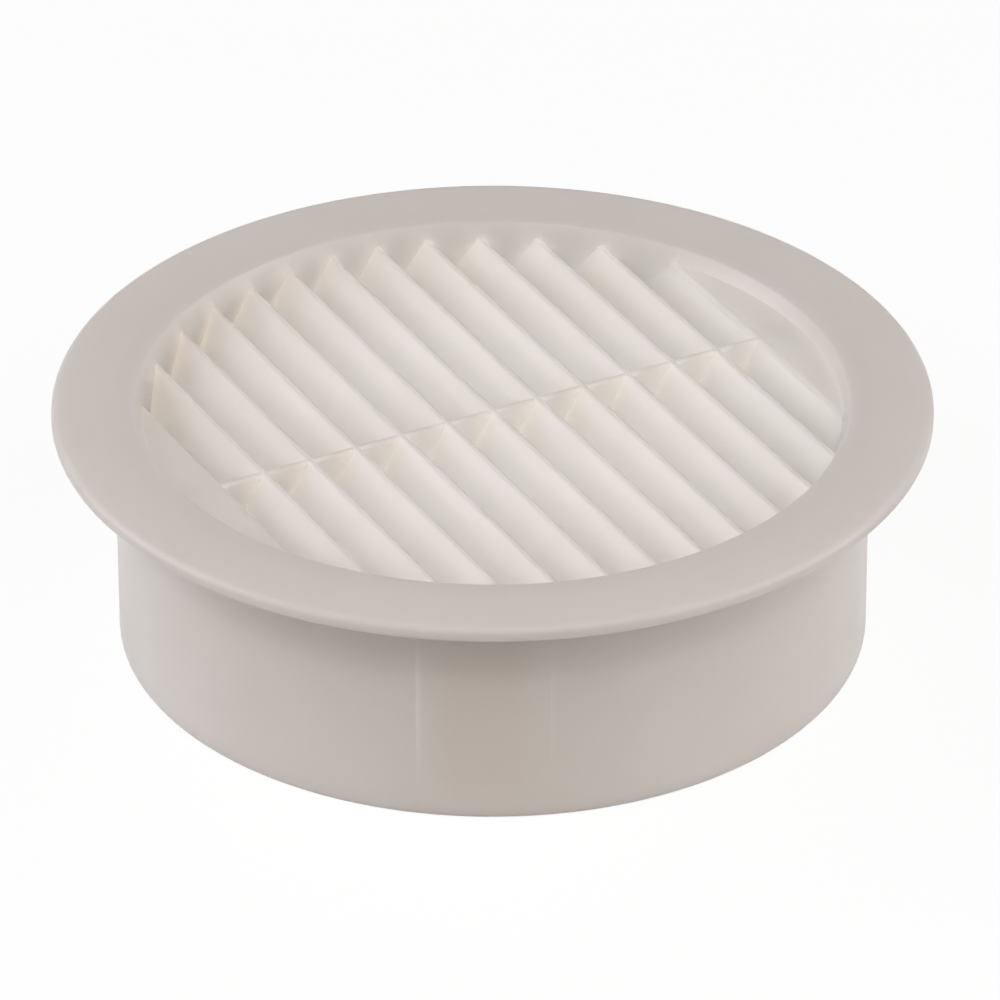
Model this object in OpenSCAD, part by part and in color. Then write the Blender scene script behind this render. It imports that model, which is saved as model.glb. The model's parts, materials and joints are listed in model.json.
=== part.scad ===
// Round louvred vent cover, moulded in one piece.
// A flat flange covers the end of a pipe or a hole in a wall, a plain collar plugs into it,
// and a recessed grille of sloping slats, tied by one cross rib, fills the opening.
// The part stands on the collar's end: the origin is the centre of that end, and +Z is the axis.

/* [Flange] */
// Outer diameter of the flange
flange_d = 124.8; // [116:0.1:150]
// Thickness of the flange
flange_t = 2.2; // [2:0.1:4]
// Radius along the flange's upper outer edge
flange_edge_r = 1.1; // [0.2:0.1:1.2]
// Radius along the flange's lower outer edge
flange_under_r = 0.7; // [0.2:0.1:0.8]

/* [Collar] */
// Outer diameter of the collar, which plugs into the pipe
collar_d = 107; // [105:0.1:112]
// Length of the collar below the flange
collar_len = 34.1; // [20:0.1:80]
// Wall of the collar below the grille
collar_wall = 2.5; // [1.6:0.1:3]
// Radius along the collar's outer end edge, which leads it into the pipe
lead_in_r = 0.7; // [0.2:0.1:1.2]

/* [Opening] */
// Wall between the opening and the collar's outside, at the flange's face
opening_wall = 2.9; // [2:0.05:6]
// Depth of the opening's tapered mouth
mouth_depth = 2.7; // [1:0.1:6]
// How far the mouth narrows over its depth, on the radius
mouth_taper = 1.2; // [0.3:0.1:2]
// Radius along the opening's upper edge
mouth_edge_r = 0.4; // [0.1:0.05:0.6]

/* [Grille] */
// Depth from the flange's face to the tops of the slats
recess = 2; // [0.5:0.1:5]
// Width of the flat plate at each end of the grille, from its edge to the wall
plate_w = 5.8; // [3:0.1:12]
// Number of slats between the two end plates
slat_count = 11; // [5:2:13]
// Thickness of a slat, square to its face
slat_t = 1.1; // [0.8:0.1:2]
// Slope of the slats from the flange's plane
slat_slope = 57; // [45:1:70]
// Depth of a slat, from its top to its lower edge
slat_depth = 9; // [6:0.1:12]
// Direction of the cross rib in the flange's plane, from +X towards +Y
rib_turn = 28.2; // [0:0.1:90]
// Thickness of the cross rib
rib_t = 1.2; // [0.8:0.1:2.5]
// Depth of the cross rib
rib_depth = 10; // [6:0.1:14]
// Thickness of the flat plates that close the two ends of the grille
plate_t = 1.6; // [1:0.1:3]
// How far the rib and the plates lie below the tops of the slats
top_step = 0.1; // [0.05:0.05:0.5]

/* [Hidden] */
$fn = 96;

total_h = collar_len + flange_t;
collar_r = collar_d / 2;
bore_r = collar_r - collar_wall;
opening_r = collar_r - opening_wall;
seat_r = opening_r - mouth_taper;
slat_top_z = total_h - recess;
rib_top_z = slat_top_z - top_step;

// the collar is thicker round the grille, down to just below the slats and the rib
seat_margin = 0.6;
seat_end_z = slat_top_z - max(slat_depth, rib_depth + top_step) - seat_margin;

// the grille is cut to a circle inside the collar's wall, where it joins the ring
grille_r = (seat_r + collar_r) / 2;

// the slats are spaced evenly between the two end plates
end_x = seat_r - plate_w;
end_slat = (slat_count + 1) / 2;
slat_pitch = end_x / end_slat;

// how far a cut runs past the faces it opens
overrun = 1;

// What a radius r takes off a square corner: the corner is the origin and the solid is on its -X, -Y side.
module corner_cut(r) {
    difference() {
        translate([-r, -r]) square(r + overrun);
        translate([-r, -r]) circle(r);
    }
}

// What a radius r takes off the opening's upper edge, between the flat face and the tapered mouth.
module mouth_edge_cut(r) {
    slope = atan(mouth_taper / mouth_depth);
    centre = [opening_r + r * (1 - sin(slope)) / cos(slope), total_h - r];
    on_taper = centre - r * [cos(slope), -sin(slope)];
    difference() {
        polygon([
            centre,
            on_taper,
            [seat_r, on_taper[1]],
            [seat_r, total_h + overrun],
            [centre[0], total_h + overrun]
        ]);
        translate(centre) circle(r);
    }
}

// Everything inside the wall: the tapered mouth, the seat round the grille and the collar's bore.
module bore_section() {
    seat_step = bore_r - seat_r;
    polygon([
        [0, total_h + overrun],
        [opening_r + mouth_taper / mouth_depth * overrun, total_h + overrun],
        [seat_r, total_h - mouth_depth],
        [seat_r, seat_end_z],
        [bore_r, seat_end_z - seat_step],
        [bore_r, -overrun],
        [0, -overrun]
    ]);
    mouth_edge_cut(mouth_edge_r);
}

// Half section of the flange and the collar, as radius and height.
module ring_section() {
    difference() {
        union() {
            square([collar_r, total_h]);
            translate([0, collar_len]) square([flange_d / 2, flange_t]);
        }
        bore_section();
        translate([flange_d / 2, total_h]) corner_cut(flange_edge_r);
        translate([flange_d / 2, collar_len]) mirror([0, 1]) corner_cut(flange_under_r);
        translate([collar_r, 0]) mirror([0, 1]) corner_cut(lead_in_r);
    }
}

// An upright blade with a half-round top at the height 0.
module rib_section() {
    translate([0, -rib_t / 2]) circle(rib_t / 2, $fn = 32);
    translate([-rib_t / 2, -rib_depth]) square([rib_t, rib_depth - rib_t / 2]);
}

// A blade that slopes down towards -X, with a half-round top at the height 0 and a level lower edge.
module slat_section() {
    r = slat_t / 2;
    face = r * [sin(slat_slope), -cos(slat_slope)];
    centre = [0, -r];
    down = -[cos(slat_slope), sin(slat_slope)] / sin(slat_slope);
    translate(centre) circle(r, $fn = 32);
    polygon([
        centre - face,
        centre + face,
        centre + face + down * (slat_depth - r + face[1]),
        centre - face + down * (slat_depth - r - face[1])
    ]);
}

// A level plate that reaches from a half-round edge at X 0 to past the wall on its +X side.
module plate_section() {
    translate([0, -plate_t / 2]) circle(plate_t / 2, $fn = 32);
    translate([0, -plate_t]) square([grille_r, plate_t]);
}

// Carries a section in X and height along Y, across the whole opening.
module across(z) {
    translate([0, grille_r, z])
        rotate([90, 0, 0])
            linear_extrude(height = 2 * grille_r) children();
}

module slats() {
    for (i = [1 - end_slat : end_slat])
        translate([i * slat_pitch, 0, 0]) across(slat_top_z) slat_section();
}

module cross_rib() {
    rotate([0, 0, 90]) across(rib_top_z) rib_section();
}

module end_plates() {
    for (side = [0, 1])
        mirror([side, 0, 0])
            translate([end_x, 0, 0]) across(rib_top_z) plate_section();
}

module grille() {
    intersection() {
        rotate([0, 0, rib_turn]) {
            slats();
            cross_rib();
            end_plates();
        }
        cylinder(r = grille_r, h = total_h, $fn = 180);
    }
}

module vent_cover() {
    color([0.91, 0.89, 0.86]) {
        rotate_extrude($fn = 180) ring_section();
        grille();
    }
}

vent_cover();
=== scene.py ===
# A round louvred vent cover, moulded in one piece of warm white plastic, on a white table.
# All lengths are metres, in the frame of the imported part: the collar stands on z = 0.

import json
import math

import bpy
import numpy as np
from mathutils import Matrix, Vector


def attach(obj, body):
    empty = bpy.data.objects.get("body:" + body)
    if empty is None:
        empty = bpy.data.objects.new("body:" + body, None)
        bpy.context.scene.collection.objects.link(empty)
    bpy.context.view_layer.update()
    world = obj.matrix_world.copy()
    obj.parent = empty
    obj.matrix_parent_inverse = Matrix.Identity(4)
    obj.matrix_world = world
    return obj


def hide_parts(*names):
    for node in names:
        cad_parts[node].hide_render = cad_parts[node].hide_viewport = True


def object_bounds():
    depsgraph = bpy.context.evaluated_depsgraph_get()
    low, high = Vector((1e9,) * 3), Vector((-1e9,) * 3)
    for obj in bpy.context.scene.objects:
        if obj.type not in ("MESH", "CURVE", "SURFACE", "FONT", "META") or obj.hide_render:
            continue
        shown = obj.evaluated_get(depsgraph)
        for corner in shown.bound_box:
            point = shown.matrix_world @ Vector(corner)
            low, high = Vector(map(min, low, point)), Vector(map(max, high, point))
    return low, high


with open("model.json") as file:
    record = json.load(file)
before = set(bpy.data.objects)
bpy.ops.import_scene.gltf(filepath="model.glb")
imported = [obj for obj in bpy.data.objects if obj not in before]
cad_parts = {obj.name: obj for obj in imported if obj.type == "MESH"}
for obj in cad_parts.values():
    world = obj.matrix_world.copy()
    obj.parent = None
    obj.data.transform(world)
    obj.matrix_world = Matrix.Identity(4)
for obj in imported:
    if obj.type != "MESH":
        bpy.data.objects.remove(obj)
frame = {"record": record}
cad_low, cad_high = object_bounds()

MM = 0.001

flange_radius = max(cad_high.x, cad_high.y)
flange_top = Vector((0, 0, cad_high.z))

# The collar's outside, as the record's mount states it
collar_mount = next(mount for mount in frame["record"]["mounts"] if mount["name"] == "collar")
collar_radius = collar_mount["dims"]["r_mm"] * MM


# Shader helpers

def node(tree, kind, values=None, **settings):
    """One shader node, with its settings and the values of its unlinked sockets."""
    made = tree.nodes.new(kind)
    for name, value in settings.items():
        setattr(made, name, value)
    for name, value in (values or {}).items():
        made.inputs[name].default_value = value
    return made


def math_node(tree, operation, *parts):
    """The result of one sum on sockets or plain numbers."""
    made = node(tree, "ShaderNodeMath", operation=operation)
    for socket, part in zip(made.inputs, parts):
        if isinstance(part, (int, float)):
            socket.default_value = part
        else:
            tree.links.new(part, socket)
    return made.outputs[0]


def product(tree, *parts):
    """All the parts multiplied together."""
    result = parts[0]
    for part in parts[1:]:
        result = math_node(tree, "MULTIPLY", result, part)
    return result


def total(tree, *parts):
    """All the parts added together."""
    result = parts[0]
    for part in parts[1:]:
        result = math_node(tree, "ADD", result, part)
    return result


def ramp(tree, value, start, end, low=0.0, high=1.0):
    """A smooth step from low, where the value is at start, to high, where it is at end."""
    made = node(tree, "ShaderNodeMapRange", {
        "From Min": start, "From Max": end, "To Min": low, "To Max": high,
    }, interpolation_type="SMOOTHSTEP")
    tree.links.new(value, made.inputs["Value"])
    return made.outputs["Result"]


def noise(tree, place, size, detail=1.0):
    """Cloudy noise from 0 to 1, whose patches are about size metres wide."""
    made = node(tree, "ShaderNodeTexNoise", {"Scale": 1 / size, "Detail": detail})
    tree.links.new(place, made.inputs["Vector"])
    return made.outputs["Fac"]


def material(name):
    """An empty material, its node tree and its Principled shader."""
    made = bpy.data.materials.new(name)
    made.use_nodes = True
    return made, made.node_tree, made.node_tree.nodes["Principled BSDF"]


# The moulded plastic: warm white, slightly see-through, with a satin skin

PLAIN_COLOUR = (0.835, 0.804, 0.770, 1)
WARM_COLOUR = (0.828, 0.790, 0.746, 1)
# The colour of the painted dark reflection on the collar's front
REFLECTION_BROWN = (0.805, 0.752, 0.695, 1)

# The stretch of a noise's values that its patches fade over, and its middle
PATCH_RANGE = (0.3, 0.7)
NOISE_MIDDLE = 0.5

CLOUD_SIZE = 28 * MM
FLECK_SIZE = 2.5 * MM
FLECK_SHARE = 0.012
GLOSS_PATCH_SIZE = 10 * MM
ROUGHNESS_LOW = 0.33
ROUGHNESS_HIGH = 0.44

GRAIN_SIZE = 0.55 * MM
GRAIN_HEIGHT = 0.004 * MM
WAVE_SIZE = 7 * MM
WAVE_HEIGHT = 0.02 * MM

PLASTIC_IOR = 1.5
SCATTER_SHARE = 1.0
SCATTER_COLOUR = (1.0, 0.97, 0.92)
SCATTER_DEPTH = 3.5 * MM

# Two faint upright lines down the collar, where the mould's parts met, as bearings from the front. They are
# real low ridges in the bump, and their lighter tone is a painted highlight.
LEFT_LINE = math.radians(-11.4)
RIGHT_LINE = math.radians(8.4)
LINE_EDGE = 0.12 * MM
LINE_TAIL = 1.2 * MM
LINE_HEIGHT = 0.02 * MM
# How much lighter each line is: a painted highlight where its ridge catches the light
LEFT_LINE_HIGHLIGHT = 0.12
RIGHT_LINE_HIGHLIGHT = 0.03
LINES_LOW_END = (4 * MM, 16 * MM)
LINES_HIGH_END = (20 * MM, 32 * MM)

# The slightly browner band between the lines, a painted dark reflection on the collar's front
REFLECTION_BAND_FADE = 6 * MM
REFLECTION_BAND_LOW_END = (1 * MM, 7 * MM)
REFLECTION_BAND_HIGH_END = (24 * MM, 32 * MM)

# The lines and the painted reflection band are full to this depth under the collar's outside, and end at
# twice the depth
OUTER_SKIN = 0.5 * MM


def collar_lines(tree, place):
    """The left line, the right line and the painted reflection band between them, each a mask from 0 to 1 on
    the collar.

    Each line rises over a sharp edge and dies away over a longer tail on its right. The band is soft
    on both sides. All three fade out towards the collar's two ends. A point's place across the lines
    is its bearing from the front times the collar's radius.
    """
    parts = node(tree, "ShaderNodeSeparateXYZ")
    tree.links.new(place, parts.inputs[0])
    x, y, z = parts.outputs
    radius = math_node(tree, "SQRT", total(tree, product(tree, x, x), product(tree, y, y)))
    bearing = math_node(tree, "ARCTAN2", x, product(tree, y, -1))
    across = product(tree, bearing, collar_radius)
    outside = ramp(tree, radius, collar_radius - 2 * OUTER_SKIN, collar_radius - OUTER_SKIN)
    line_height = product(tree, ramp(tree, z, *LINES_LOW_END), ramp(tree, z, *LINES_HIGH_END, 1.0, 0.0))
    reflection_band_height = product(tree, ramp(tree, z, *REFLECTION_BAND_LOW_END), ramp(tree, z, *REFLECTION_BAND_HIGH_END, 1.0, 0.0))

    def line(bearing_of_line):
        start = bearing_of_line * collar_radius
        edge = ramp(tree, across, start - LINE_EDGE, start + LINE_EDGE)
        tail = ramp(tree, across, start, start + LINE_TAIL, 1.0, 0.0)
        return product(tree, edge, tail, outside, line_height)

    left = LEFT_LINE * collar_radius
    right = RIGHT_LINE * collar_radius
    after_left = ramp(tree, across, left, left + REFLECTION_BAND_FADE)
    before_right = ramp(tree, across, right - REFLECTION_BAND_FADE, right, 1.0, 0.0)
    reflection_band = product(tree, after_left, before_right, outside, reflection_band_height)
    return line(LEFT_LINE), line(RIGHT_LINE), reflection_band


def moulded_plastic():
    made, tree, shader = material("satin_white_plastic")
    place = node(tree, "ShaderNodeTexCoord").outputs["Object"]
    left_line, right_line, reflection_band = collar_lines(tree, place)

    cloud = ramp(tree, noise(tree, place, CLOUD_SIZE), *PATCH_RANGE)
    cloudy = node(tree, "ShaderNodeMix", {"A": PLAIN_COLOUR, "B": WARM_COLOUR}, data_type="RGBA")
    tree.links.new(cloud, cloudy.inputs["Factor"])
    # The browner band mixed in here is a painted dark reflection on the collar's front.
    base = node(tree, "ShaderNodeMix", {"B": REFLECTION_BROWN}, data_type="RGBA")
    tree.links.new(reflection_band, base.inputs["Factor"])
    tree.links.new(cloudy.outputs["Result"], base.inputs["A"])
    fleck = math_node(tree, "SUBTRACT", noise(tree, place, FLECK_SIZE), NOISE_MIDDLE)
    # The flecks are random tone; the lines' lightening is a painted highlight on the mould ridges.
    tone = total(
        tree,
        product(tree, fleck, FLECK_SHARE),
        product(tree, left_line, LEFT_LINE_HIGHLIGHT),
        product(tree, right_line, RIGHT_LINE_HIGHLIGHT),
        1.0,
    )
    colour = node(tree, "ShaderNodeVectorMath", operation="SCALE")
    tree.links.new(base.outputs["Result"], colour.inputs[0])
    tree.links.new(tone, colour.inputs["Scale"])
    tree.links.new(colour.outputs[0], shader.inputs["Base Color"])

    gloss = noise(tree, place, GLOSS_PATCH_SIZE)
    roughness = ramp(tree, gloss, *PATCH_RANGE, ROUGHNESS_LOW, ROUGHNESS_HIGH)
    tree.links.new(roughness, shader.inputs["Roughness"])

    height = total(
        tree,
        product(tree, noise(tree, place, GRAIN_SIZE), GRAIN_HEIGHT),
        product(tree, noise(tree, place, WAVE_SIZE), WAVE_HEIGHT),
        product(tree, left_line, LINE_HEIGHT),
        product(tree, right_line, LINE_HEIGHT),
    )
    bump = node(tree, "ShaderNodeBump", {"Distance": 1.0})
    tree.links.new(height, bump.inputs["Height"])
    tree.links.new(bump.outputs["Normal"], shader.inputs["Normal"])

    shader.subsurface_method = "BURLEY"
    shader.inputs["IOR"].default_value = PLASTIC_IOR
    shader.inputs["Subsurface Weight"].default_value = SCATTER_SHARE
    shader.inputs["Subsurface Radius"].default_value = SCATTER_COLOUR
    shader.inputs["Subsurface Scale"].default_value = SCATTER_DEPTH
    return made


# The moulding's surface, with the sizes of the CAD solid

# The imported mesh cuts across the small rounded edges. This one is divided finely enough for a smooth
# outline.

FLANGE_THICKNESS = 2.2 * MM
FLANGE_EDGE = 1.1 * MM
FLANGE_UNDER_EDGE = 0.7 * MM
COLLAR_WALL = 2.5 * MM
LEAD_IN_EDGE = 0.7 * MM
OPENING_WALL = 2.9 * MM
MOUTH_DEPTH = 2.7 * MM
MOUTH_TAPER = 1.2 * MM
MOUTH_EDGE = 0.4 * MM
RECESS = 2 * MM
PLATE_WIDTH = 5.8 * MM
PLATE_THICKNESS = 1.6 * MM

# The slats part the stretch between the two end plates into this many gaps
GAP_COUNT = 12
SLAT_THICKNESS = 1.1 * MM
SLAT_DEPTH = 9 * MM
SLAT_SLOPE = math.radians(57)
RIB_TURN = math.radians(28.2)
RIB_THICKNESS = 1.2 * MM
RIB_DEPTH = 10 * MM
TOP_STEP = 0.1 * MM
SEAT_MARGIN = 0.6 * MM

AROUND = 360
EDGE_STEPS = 8
NOSE_POINTS = 12
PLATE_STEPS = 32
SHARP_ANGLE = math.radians(32)
NORMAL_WEIGHT = 100

bore_radius = collar_radius - COLLAR_WALL
opening_radius = collar_radius - OPENING_WALL
seat_radius = opening_radius - MOUTH_TAPER
slat_top = flange_top.z - RECESS
rib_top = slat_top - TOP_STEP
seat_end = slat_top - max(SLAT_DEPTH, RIB_DEPTH + TOP_STEP) - SEAT_MARGIN
plate_edge = seat_radius - PLATE_WIDTH
slat_pitch = plate_edge / (GAP_COUNT / 2)

# The blades end inside the ring's wall
blade_reach = (seat_radius + collar_radius) / 2


def arc(centre, radius, start, end, steps):
    """Points on a circle from the angle start to the angle end: centre + radius (cos, sin)."""
    angles = np.linspace(start, end, steps + 1)[:, None]
    return np.asarray(centre) + radius * np.hstack([np.cos(angles), np.sin(angles)])


def rounded(corners):
    """A closed outline through corners (x, y, radius), each cut to an arc that touches both its sides.

    The arc's centre lies on the line that halves the corner, at radius / sin(half its angle).
    """
    spots = np.array([corner[:2] for corner in corners])
    pieces = []
    for index, (x, y, radius) in enumerate(corners):
        spot = spots[index]
        if radius == 0:
            pieces.append(spot[None])
            continue
        back = spots[index - 1] - spot
        ahead = spots[(index + 1) % len(spots)] - spot
        back /= np.linalg.norm(back)
        ahead /= np.linalg.norm(ahead)
        half = math.acos(back @ ahead) / 2
        centre = spot + (back + ahead) / np.linalg.norm(back + ahead) * radius / math.sin(half)
        first = spot + back * radius / math.tan(half) - centre
        last = spot + ahead * radius / math.tan(half) - centre
        start = math.atan2(first[1], first[0])
        turn = math.remainder(math.atan2(last[1], last[0]) - start, 2 * math.pi)
        pieces.append(arc(centre, radius, start, start + turn, EDGE_STEPS))
    return np.vstack(pieces)


def mesh_object(name, points, faces):
    mesh = bpy.data.meshes.new(name)
    mesh.from_pydata(points, [], faces)
    made = bpy.data.objects.new(name, mesh)
    bpy.context.scene.collection.objects.link(made)
    return made


def ring():
    """Flange, collar and mouth: the point (r cos t, r sin t, z) for each turn t and outline point (r, z)."""
    outline = rounded([
        (bore_radius, 0, 0),
        (collar_radius, 0, LEAD_IN_EDGE),
        (collar_radius, flange_top.z - FLANGE_THICKNESS, 0),
        (flange_radius, flange_top.z - FLANGE_THICKNESS, FLANGE_UNDER_EDGE),
        (flange_radius, flange_top.z, FLANGE_EDGE),
        (opening_radius, flange_top.z, MOUTH_EDGE),
        (seat_radius, flange_top.z - MOUTH_DEPTH, 0),
        (seat_radius, seat_end, 0),
        (bore_radius, seat_end - (bore_radius - seat_radius), 0),
    ])
    turns = np.linspace(0, 2 * math.pi, AROUND, endpoint=False)[:, None]
    radii, heights = outline.T
    points = np.stack([radii * np.cos(turns), radii * np.sin(turns), heights + 0 * turns], -1)
    place = np.arange(points[..., 0].size).reshape(AROUND, -1)
    next_turn = np.roll(place, -1, axis=0)
    faces = np.stack([place, next_turn, np.roll(next_turn, -1, axis=1), np.roll(place, -1, axis=1)], -1)
    return mesh_object("ring", points.reshape(-1, 3), faces.reshape(-1, 4))


def blade(name, nose, rest, turn):
    """A bar whose section is nose, a half circle, and then rest, as (across, height).

    Each point of the section runs along the bar to the circle of radius blade_reach on both sides, so
    it becomes the two points (across, -+ sqrt(blade_reach^2 - across^2), height), turned about the axis.
    The ends are closed by a ladder of quads from one side of the section to the other.
    """
    section = np.roll(np.vstack([nose, rest]), -len(nose) // 2, axis=0)
    count = len(section)
    across, height = np.tile(section, (2, 1)).T
    along = np.repeat([-1, 1], count) * np.sqrt(np.maximum(blade_reach ** 2 - across ** 2, 0))
    cos, sin = math.cos(turn), math.sin(turn)
    points = np.column_stack([across * cos - along * sin, across * sin + along * cos, height])
    one = np.arange(count)
    other = np.roll(one, -1)
    sides = np.column_stack([one, other, other + count, one + count])
    rung = np.arange(count // 2 - 1)
    near = np.column_stack([count - 1 - rung, count - 2 - rung, rung + 1, rung])
    return mesh_object(name, points, np.vstack([sides, near, near[:, ::-1] + count]))


def slat(index):
    radius = SLAT_THICKNESS / 2
    face = radius * np.array([math.sin(SLAT_SLOPE), -math.cos(SLAT_SLOPE)])
    centre = np.array([index * slat_pitch, slat_top - radius])
    down = -np.array([1 / math.tan(SLAT_SLOPE), 1.0])
    quarter = math.pi / 2
    nose = arc(centre, radius, SLAT_SLOPE - quarter, SLAT_SLOPE + quarter, NOSE_POINTS - 1)
    left = centre - face + down * (SLAT_DEPTH - radius - face[1])
    right = centre + face + down * (SLAT_DEPTH - radius + face[1])
    return blade("slat", nose, [left, right], RIB_TURN)


def cross_rib():
    radius = RIB_THICKNESS / 2
    nose = arc((0, rib_top - radius), radius, 0, math.pi, NOSE_POINTS - 1)
    rest = [(-radius, rib_top - RIB_DEPTH), (radius, rib_top - RIB_DEPTH)]
    return blade("cross_rib", nose, rest, RIB_TURN + math.pi / 2)


def end_plate(turn):
    radius = PLATE_THICKNESS / 2
    nose = arc((plate_edge, rib_top - radius), radius, math.pi / 2, 3 * math.pi / 2, NOSE_POINTS - 1)
    last_turn = math.acos(plate_edge / blade_reach)
    along = blade_reach * np.cos(np.linspace(last_turn, last_turn / PLATE_STEPS, PLATE_STEPS))[1:]
    low = np.column_stack([along, np.full(len(along), rib_top - PLATE_THICKNESS)])
    high = np.column_stack([along, np.full(len(along), rib_top)])[::-1]
    return blade("end_plate", nose, np.vstack([low, high]), RIB_TURN + turn)


def cover_surface():
    """The ring, slats, cross rib and end plates, joined into one closed surface."""
    cover = ring()
    grille = bpy.data.collections.new("grille")
    bpy.context.scene.collection.children.link(grille)
    blades = [slat(index) for index in range(1 - GAP_COUNT // 2, GAP_COUNT // 2 + 1)]
    blades += [cross_rib(), end_plate(0), end_plate(math.pi)]
    for piece in blades:
        bpy.context.scene.collection.objects.unlink(piece)
        grille.objects.link(piece)
    join = cover.modifiers.new("join", "BOOLEAN")
    join.operation = "UNION"
    join.operand_type = "COLLECTION"
    join.collection = grille
    join.solver = "EXACT"
    depsgraph = bpy.context.evaluated_depsgraph_get()
    joined = bpy.data.meshes.new_from_object(cover.evaluated_get(depsgraph))
    cover.modifiers.clear()
    cover.data = joined
    for piece in blades:
        bpy.data.objects.remove(piece)
    bpy.data.collections.remove(grille)
    joined.shade_smooth()
    joined.set_sharp_from_angle(angle=SHARP_ANGLE)
    even = cover.modifiers.new("even_normals", "WEIGHTED_NORMAL")
    even.keep_sharp = True
    even.weight = NORMAL_WEIGHT
    return cover


def moulded_cover():
    cover = cover_surface()
    cover.name = "moulded_cover"
    cover.data.name = "moulded_cover"
    cover.data.materials.clear()
    cover.data.materials.append(moulded_plastic())
    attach(cover, "root")
    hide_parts("vent_cover")


# The table and the white that it shows

# The table shows as white and keeps the part's soft shadow. Inside the collar it shows as it is lit.

WHITE = (1, 1, 1, 1)
TABLE_HALF = 3.0
TABLE_COLOUR = (0.75, 0.74, 0.73, 1)
TABLE_WHITE_SHARE = 0.84
TABLE_WHITE_STRENGTH = 1.095


def seen_directly(tree):
    """1 for rays from the camera and for reflected and transmitted ones, 0 for the rest."""
    path = node(tree, "ShaderNodeLightPath")
    camera_or_glossy = math_node(
        tree, "MAXIMUM", path.outputs["Is Camera Ray"], path.outputs["Is Glossy Ray"]
    )
    return math_node(tree, "MAXIMUM", camera_or_glossy, path.outputs["Is Transmission Ray"])


def white_table():
    mesh = bpy.data.meshes.new("table")
    corners = [(-TABLE_HALF, -TABLE_HALF, 0), (TABLE_HALF, -TABLE_HALF, 0),
               (TABLE_HALF, TABLE_HALF, 0), (-TABLE_HALF, TABLE_HALF, 0)]
    mesh.from_pydata(corners, [], [(0, 1, 2, 3)])
    table = bpy.data.objects.new("table", mesh)
    bpy.context.scene.collection.objects.link(table)
    made, tree, shader = material("white_table")
    shader.inputs["Base Color"].default_value = TABLE_COLOUR
    shader.inputs["Roughness"].default_value = 1
    shader.inputs["Specular IOR Level"].default_value = 0
    white = node(tree, "ShaderNodeEmission", {"Color": WHITE, "Strength": TABLE_WHITE_STRENGTH})
    place = node(tree, "ShaderNodeTexCoord").outputs["Object"]
    radius = node(tree, "ShaderNodeVectorMath", operation="LENGTH")
    tree.links.new(place, radius.inputs[0])
    past_collar = ramp(tree, radius.outputs["Value"], bore_radius, collar_radius)
    blend = node(tree, "ShaderNodeMixShader")
    tree.links.new(product(tree, seen_directly(tree), past_collar, TABLE_WHITE_SHARE), blend.inputs["Fac"])
    tree.links.new(shader.outputs[0], blend.inputs[1])
    tree.links.new(white.outputs[0], blend.inputs[2])
    tree.links.new(blend.outputs[0], tree.nodes["Material Output"].inputs["Surface"])
    mesh.materials.append(made)


# The camera stands in front of the part and looks down on it, as in the photograph

CAMERA_RISE = math.radians(30.36)
CAMERA_AWAY = 20 * flange_radius
LOOK_DOWN = math.radians(31.03)
LOOK_RIGHT = math.radians(0.056)
SENSOR = 36.0
FOCAL_LENGTH = 317.66
CLIP_NEAR = 0.05
CLIP_FAR = 20


def camera():
    data = bpy.data.cameras.new("camera")
    data.sensor_width = SENSOR
    data.lens = FOCAL_LENGTH
    data.clip_start = CLIP_NEAR
    data.clip_end = CLIP_FAR
    made = bpy.data.objects.new("camera", data)
    bpy.context.scene.collection.objects.link(made)
    made.location = flange_top + CAMERA_AWAY * Vector((0, -math.cos(CAMERA_RISE), math.sin(CAMERA_RISE)))
    ahead = Vector((
        math.sin(LOOK_RIGHT) * math.cos(LOOK_DOWN),
        math.cos(LOOK_RIGHT) * math.cos(LOOK_DOWN),
        -math.sin(LOOK_DOWN),
    ))
    made.rotation_mode = "QUATERNION"
    made.rotation_quaternion = ahead.to_track_quat("-Z", "Y")
    bpy.context.scene.camera = made


# Studio light and the white behind the table

# Strong soft boxes stand to the left and right and weaker ones in front. One more lamp lies on the
# table under the grille, and its light comes up between the slats.

LAMP_AWAY = 1.2
AIM = Vector((0, 0, cad_high.z / 2))

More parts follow.
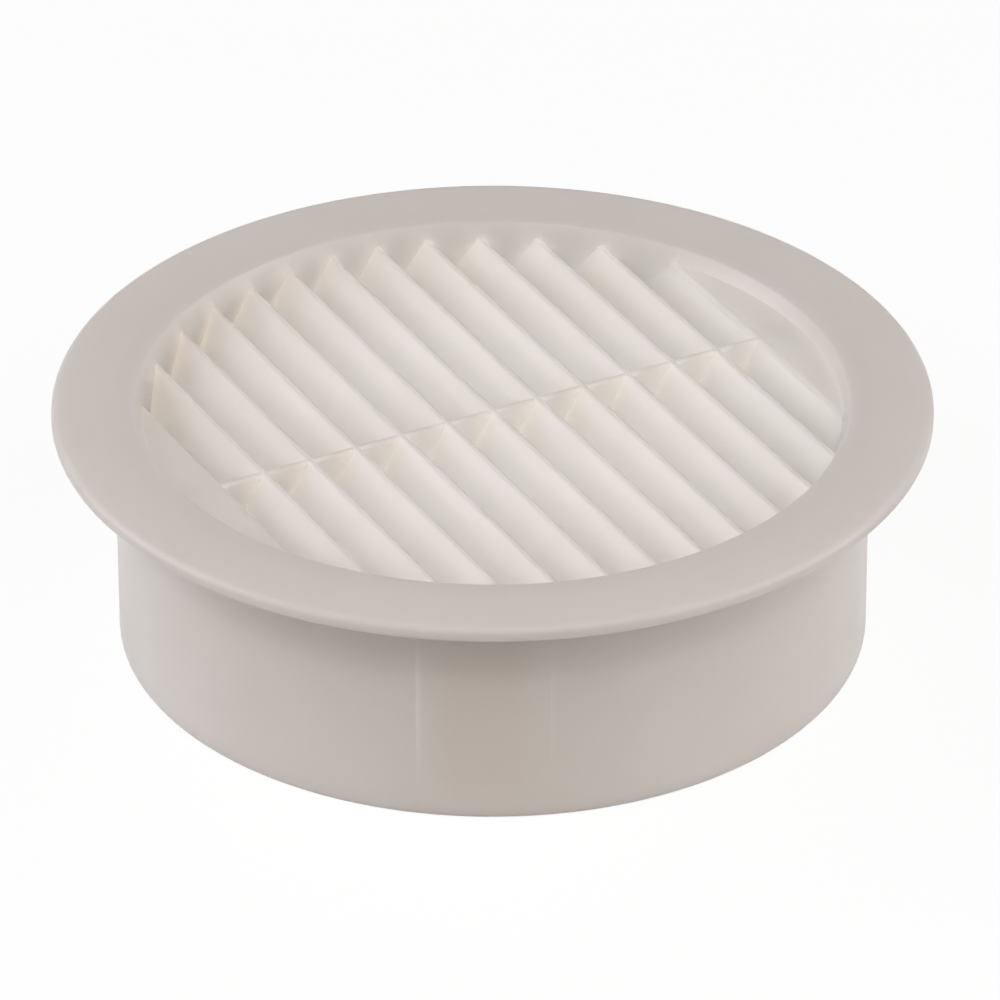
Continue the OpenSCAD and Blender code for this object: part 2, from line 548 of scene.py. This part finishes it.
# Bearing from the camera's side towards +X, rise above the table, side of the box, and radiance
SOFT_BOXES = {
    "left_box": (-92, 25, 0.9, (2.15, 2.15, 2.30)),
    "right_box": (86, 20, 0.9, (1.89, 1.87, 1.98)),
    "front_box": (0, 50, 0.8, (0.82, 0.78, 0.75)),
    "front_right_box": (42, 46, 0.8, (0.90, 0.86, 0.77)),
    "front_left_box": (-45, 45, 0.8, (0.91, 0.86, 0.90)),
}
UNDER_LAMP_RADIUS = 48 * MM
UNDER_LAMP_RISE = 0.5 * MM
UNDER_LAMP_RADIANCE = (0.80, 0.92, 1.00)
FILL = (0.11, 0.09, 0.075)


def area_lamp(name, shape, size, radiance, place, aim):
    """A lamp of one size whose face gives the stated radiance, turned from its place to aim."""
    data = bpy.data.lights.new(name, "AREA")
    data.shape = shape
    data.size = size
    area = size ** 2 if shape == "SQUARE" else math.pi * (size / 2) ** 2
    brightest = max(radiance)
    data.color = tuple(part / brightest for part in radiance)
    data.energy = math.pi * area * brightest
    made = bpy.data.objects.new(name, data)
    bpy.context.scene.collection.objects.link(made)
    made.location = place
    made.rotation_mode = "QUATERNION"
    made.rotation_quaternion = (aim - place).to_track_quat("-Z", "Y")
    made.visible_camera = False
    return made


def studio_light():
    for name, (bearing, rise, size, radiance) in SOFT_BOXES.items():
        turn, lift = math.radians(bearing), math.radians(rise)
        towards = Vector((math.sin(turn) * math.cos(lift), -math.cos(turn) * math.cos(lift), math.sin(lift)))
        area_lamp(name, "SQUARE", size, radiance, AIM + LAMP_AWAY * towards, AIM)
    under = Vector((0, 0, UNDER_LAMP_RISE))
    area_lamp("under_grille_lamp", "DISK", 2 * UNDER_LAMP_RADIUS, UNDER_LAMP_RADIANCE, under, flange_top)

    world = bpy.data.worlds.new("studio")
    bpy.context.scene.world = world
    world.use_nodes = True
    tree = world.node_tree
    fill = tree.nodes["Background"]
    fill.inputs["Color"].default_value = (*FILL, 1)
    white = node(tree, "ShaderNodeBackground", {"Color": WHITE, "Strength": 1.0})
    blend = node(tree, "ShaderNodeMixShader")
    tree.links.new(seen_directly(tree), blend.inputs["Fac"])
    tree.links.new(fill.outputs[0], blend.inputs[1])
    tree.links.new(white.outputs[0], blend.inputs[2])
    tree.links.new(blend.outputs[0], tree.nodes["World Output"].inputs["Surface"])


camera()
studio_light()
moulded_cover()
white_table()

bpy.context.scene.view_settings.view_transform = "Standard"
